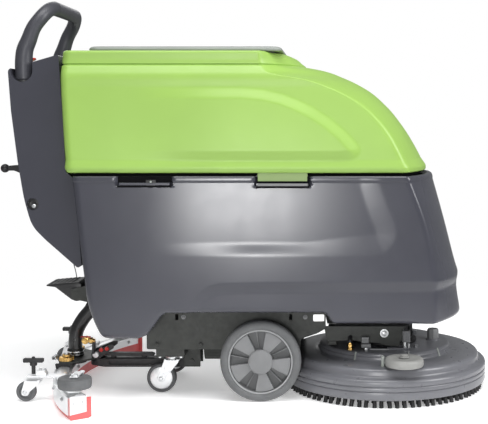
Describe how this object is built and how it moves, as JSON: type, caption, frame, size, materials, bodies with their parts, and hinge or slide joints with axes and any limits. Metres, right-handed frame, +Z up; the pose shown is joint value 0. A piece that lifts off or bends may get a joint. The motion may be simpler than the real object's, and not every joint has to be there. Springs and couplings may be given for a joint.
{
  "type": "wet dry floor scrubber",
  "caption": "Walk-behind wet dry floor scrubber with stacked tanks, a round brush deck in front and a curved suction squeegee behind",
  "frame": {"origin": "On the floor, under the centre of the bounding box", "axes": "+X forward towards the brush, +Y to the machine's left, +Z up"},
  "size_m": [1.242, 0.724, 1.0061],
  "materials": {
    "green_shell": "moulded green shell, satin gloss",
    "grey_shell": "fine-textured dark grey shell",
    "lid_grey": "mid grey moulding",
    "black_plastic": "black moulding",
    "rubber": "grey non-marking rubber",
    "rim_grey": "pale grey wheel centre",
    "dark_steel": "dark powder coat",
    "steel": "zinc and stainless steel",
    "deck_grey": "cast deck, grey",
    "brush_black": "black brush block and bristles",
    "blade_red": "red squeegee rubber",
    "brass": "brass",
    "red_plastic": "red",
    "display_glass": "dark display window"
  },
  "bodies": {
    "chassis": {"side_plate_right": "dark_steel", "side_plate_left": "dark_steel", "chassis_pan": "dark_steel", "caster_beam": "dark_steel", "solution_tank": "grey_shell", "battery_well": "black_plastic", "battery_right": "black_plastic", "battery_left": "black_plastic", "transaxle": "dark_steel", "console_housing": "grey_shell", "control_panel": "black_plastic", "display_window": "display_glass", "handle_loop": "black_plastic", "vacuum_motor": "dark_steel", "motor_controller": "black_plastic", "pedal_bracket": "dark_steel", "suction_hose": "black_plastic"},
    "drive_wheel_right": {"drive_tyre_right": "rubber", "drive_rim_right": "rim_grey"},
    "drive_wheel_left": {"drive_tyre_left": "rubber", "drive_rim_left": "rim_grey"},
    "caster_swivel_right": {"caster_fork_right": "steel"},
    "caster_roll_right": {"caster_wheel_right": "rubber"},
    "caster_swivel_left": {"caster_fork_left": "steel"},
    "caster_roll_left": {"caster_wheel_left": "rubber"},
    "recovery": {"recovery_tank": "green_shell", "vacuum_standpipe": "black_plastic", "float_cage": "lid_grey"},
    "lid": {"tank_lid": "lid_grey"},
    "float": {"float_ball": "black_plastic"},
    "latch": {"tank_latch": "lid_grey"},
    "deck": {"deck_housing": "deck_grey", "deck_bracket": "dark_steel", "brush_motor": "dark_steel", "bumper_bolt": "steel"},
    "brush": {"brush_disc": "brush_black", "brush_bristles": "brush_black"},
    "bumper": {"bumper_roller": "lid_grey"},
    "pedal": {"foot_pedal": "black_plastic"},
    "drawbar": {"squeegee_drawbar": "dark_steel"},
    "squeegee": {"squeegee_carrier": "dark_steel", "squeegee_body": "steel", "rear_blade": "blade_red", "front_blade": "blade_red"},
    "guide_right": {"guide_roller_right": "rubber"},
    "guide_left": {"guide_roller_left": "rubber"},
    "trailing_swivel_right": {"trailing_fork_right": "steel"},
    "trailing_roll_right": {"trailing_wheel_right": "rubber"},
    "trailing_swivel_left": {"trailing_fork_left": "steel"},
    "trailing_roll_left": {"trailing_wheel_left": "rubber"},
    "nut_right": {"thumb_nut_right": "brass"},
    "nut_left": {"thumb_nut_left": "brass"},
    "knob_right": {"height_knob_right": "black_plastic"},
    "knob_left": {"height_knob_left": "black_plastic"},
    "lever": {"lift_lever": "black_plastic"},
    "stop_button": {"emergency_stop": "red_plastic"},
    "key": {"key_switch": "steel"},
    "dial": {"speed_dial": "black_plastic"},
    "brush_switch": {"brush_button": "lid_grey"},
    "vacuum_switch": {"vacuum_button": "lid_grey"}
  },
  "joints": [
    {"name": "drive_spin_right", "type": "hinge", "parent": "chassis", "child": "drive_wheel_right", "pos_m": [0.035, -0.186, 0.101], "axis": [0, 1, 0], "continuous": true},
    {"name": "caster_swivel_right", "type": "hinge", "parent": "chassis", "child": "caster_swivel_right", "pos_m": [-0.199, -0.102, 0.09], "axis": [0, 0, 1], "continuous": true},
    {"name": "caster_spin_right", "type": "hinge", "parent": "caster_swivel_right", "child": "caster_roll_right", "pos_m": [-0.226, -0.102, 0.038], "axis": [0, 1, 0], "continuous": true},
    {"name": "drive_spin_left", "type": "hinge", "parent": "chassis", "child": "drive_wheel_left", "pos_m": [0.035, 0.186, 0.101], "axis": [0, 1, 0], "continuous": true},
    {"name": "caster_swivel_left", "type": "hinge", "parent": "chassis", "child": "caster_swivel_left", "pos_m": [-0.199, 0.102, 0.09], "axis": [0, 0, 1], "continuous": true},
    {"name": "caster_spin_left", "type": "hinge", "parent": "caster_swivel_left", "child": "caster_roll_left", "pos_m": [-0.226, 0.102, 0.038], "axis": [0, 1, 0], "continuous": true},
    {"name": "recovery_tilt", "type": "hinge", "parent": "chassis", "child": "recovery", "pos_m": [0, 0.24, 0.565], "axis": [-1, 0, 0], "range_deg": [0, 70]},
    {"name": "lid_open", "type": "hinge", "parent": "recovery", "child": "lid", "pos_m": [-0.393, 0, 0.8723], "axis": [0, -1, 0], "range_deg": [0, 85]},
    {"name": "float_rise", "type": "slide", "parent": "recovery", "child": "float", "axis": [0, 0, 1], "range_m": [0, 0.026]},
    {"name": "latch_slide", "type": "slide", "parent": "chassis", "child": "latch", "axis": [-1, 0, 0], "range_m": [0, 0.02]},
    {"name": "deck_lift", "type": "slide", "parent": "chassis", "child": "deck", "axis": [0, 0, 1], "range_m": [0, 0.025]},
    {"name": "brush_spin", "type": "hinge", "parent": "deck", "child": "brush", "pos_m": [0.353, 0, 0.05], "axis": [0, 0, 1], "continuous": true},
    {"name": "bumper_spin", "type": "hinge", "parent": "deck", "child": "bumper", "pos_m": [0.39, -0.23, 0.108], "axis": [0, 0, 1], "continuous": true},
    {"name": "pedal_press", "type": "hinge", "parent": "chassis", "child": "pedal", "pos_m": [-0.432, -0.1, 0.262], "axis": [0, -1, 0], "range_deg": [0, 20.1]},
    {"name": "squeegee_lift", "type": "hinge", "parent": "chassis", "child": "drawbar", "pos_m": [-0.158, 0, 0.062], "axis": [0, 1, 0], "range_deg": [0, 10], "deforming": ["suction_hose"]},
    {"name": "squeegee_yaw", "type": "hinge", "parent": "drawbar", "child": "squeegee", "pos_m": [-0.411, 0, 0.066], "axis": [0, 0, 1], "range_deg": [-10, 10]},
    {"name": "guide_spin_right", "type": "hinge", "parent": "squeegee", "child": "guide_right", "pos_m": [-0.39644, -0.322, 0.081], "axis": [0, 0, 1], "continuous": true},
    {"name": "trailing_swivel_right", "type": "hinge", "parent": "squeegee", "child": "trailing_swivel_right", "pos_m": [-0.532, -0.19, 0.05], "axis": [0, 0, 1], "continuous": true},
    {"name": "trailing_spin_right", "type": "hinge", "parent": "trailing_swivel_right", "child": "trailing_roll_right", "pos_m": [-0.55, -0.19, 0.025], "axis": [0, 1, 0], "continuous": true},
    {"name": "nut_turn_right", "type": "hinge", "parent": "squeegee", "child": "nut_right", "pos_m": [-0.48305, -0.06, 0.078], "axis": [0, 0, 1], "range_deg": [0, 360]},
    {"name": "knob_turn_right", "type": "hinge", "parent": "squeegee", "child": "knob_right", "pos_m": [-0.532, -0.19, 0.095], "axis": [0, 0, 1], "range_deg": [0, 360]},
    {"name": "guide_spin_left", "type": "hinge", "parent": "squeegee", "child": "guide_left", "pos_m": [-0.39644, 0.322, 0.081], "axis": [0, 0, 1], "continuous": true},
    {"name": "trailing_swivel_left", "type": "hinge", "parent": "squeegee", "child": "trailing_swivel_left", "pos_m": [-0.532, 0.19, 0.05], "axis": [0, 0, 1], "continuous": true},
    {"name": "trailing_spin_left", "type": "hinge", "parent": "trailing_swivel_left", "child": "trailing_roll_left", "pos_m": [-0.55, 0.19, 0.025], "axis": [0, 1, 0], "continuous": true},
    {"name": "nut_turn_left", "type": "hinge", "parent": "squeegee", "child": "nut_left", "pos_m": [-0.48305, 0.06, 0.078], "axis": [0, 0, 1], "range_deg": [0, 360]},
    {"name": "knob_turn_left", "type": "hinge", "parent": "squeegee", "child": "knob_left", "pos_m": [-0.532, 0.19, 0.095], "axis": [0, 0, 1], "range_deg": [0, 360]},
    {"name": "lever_pull", "type": "hinge", "parent": "chassis", "child": "lever", "pos_m": [-0.545, -0.15, 0.58], "axis": [0, -1, 0], "range_deg": [0, 45.5]},
    {"name": "stop_press", "type": "slide", "parent": "chassis", "child": "stop_button", "axis": [0.2768, 0, -0.9609], "range_m": [0, 0.006], "stiffness_N_per_m": 800},
    {"name": "key_turn", "type": "hinge", "parent": "chassis", "child": "key", "pos_m": [-0.55802, 0.108, 0.84575], "axis": [-0.2768, 0, 0.9609], "range_deg": [-90, 0]},
    {"name": "dial_turn", "type": "hinge", "parent": "chassis", "child": "dial", "pos_m": [-0.55802, 0.05, 0.84575], "axis": [-0.2768, 0, 0.9609], "range_deg": [-270, 0]},
    {"name": "brush_press", "type": "slide", "parent": "chassis", "child": "brush_switch", "axis": [0.2768, 0, -0.9609], "range_m": [0, 0.002], "stiffness_N_per_m": 500},
    {"name": "vacuum_press", "type": "slide", "parent": "chassis", "child": "vacuum_switch", "axis": [0.2768, 0, -0.9609], "range_m": [0, 0.002], "stiffness_N_per_m": 500}
  ],
  "couplings": [
    {"joint": "pedal_press", "follows": "deck_lift", "rad_per_m": 13.96},
    {"joint": "lever_pull", "follows": "squeegee_lift", "ratio": 4.5}
  ]
}
